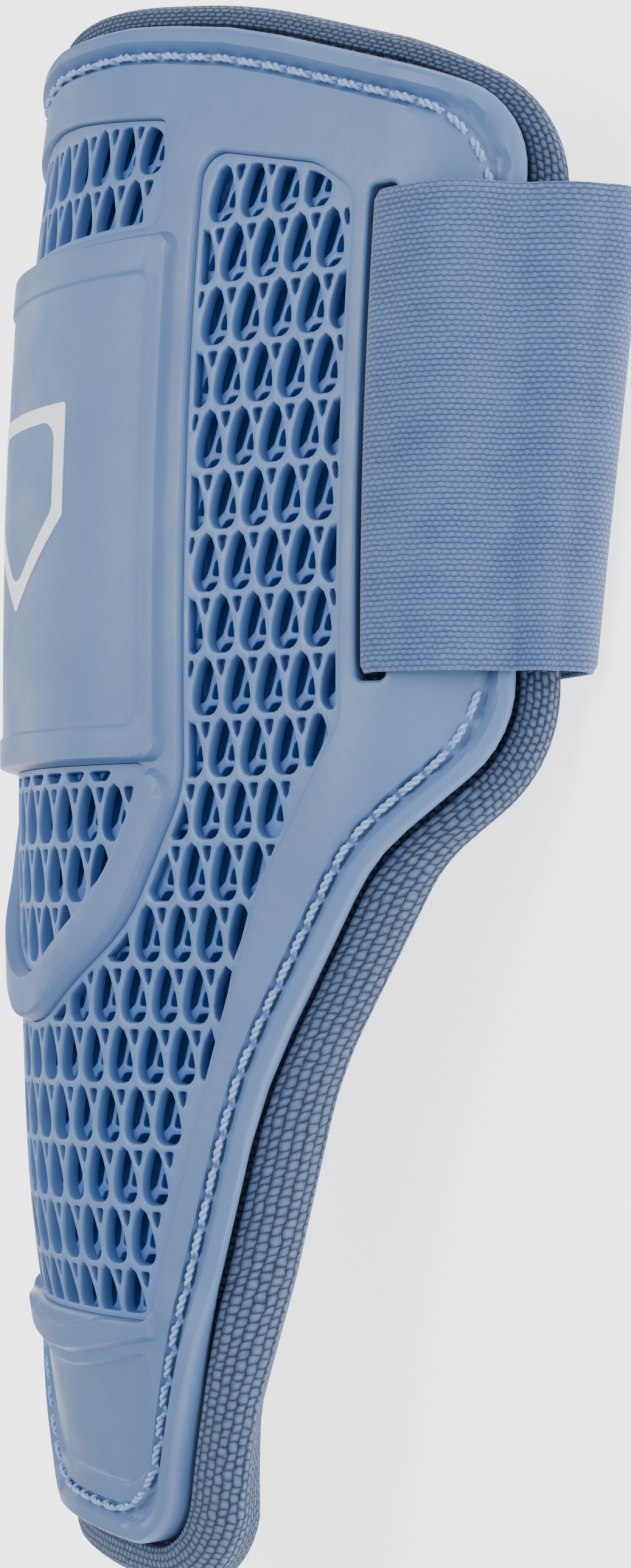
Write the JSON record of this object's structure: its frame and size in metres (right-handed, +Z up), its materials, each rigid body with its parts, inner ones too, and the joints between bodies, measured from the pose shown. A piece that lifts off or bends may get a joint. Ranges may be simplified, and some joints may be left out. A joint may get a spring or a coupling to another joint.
{
  "type": "baseball elbow guard",
  "caption": "Baseball elbow guard: a long curved rubber shell with honeycomb panels and a raised plate, on a padded woven liner, closed by a broad elastic strap.",
  "frame": {"origin": "centre of the bounding box at the level of the strap's back, on which the guard rests", "axes": "+X across the guard, +Y along it from the narrow tip to the wide end, +Z up through the crown of the shell"},
  "size_m": [0.17, 0.2658, 0.0737],
  "materials": {
    "shell_rubber": "satin moulded rubber, slate blue",
    "lattice_rubber": "satin moulded rubber, slate blue",
    "liner_fabric": "coarse basket-weave cover over foam, dark slate blue",
    "strap_elastic": "knitted elastic, slate blue"
  },
  "bodies": {
    "root": {"shell": "shell_rubber", "honeycomb_top": "lattice_rubber", "honeycomb_front": "lattice_rubber", "honeycomb_sides": "lattice_rubber", "liner": "liner_fabric", "strap": "strap_elastic"}
  },
  "joints": []
}
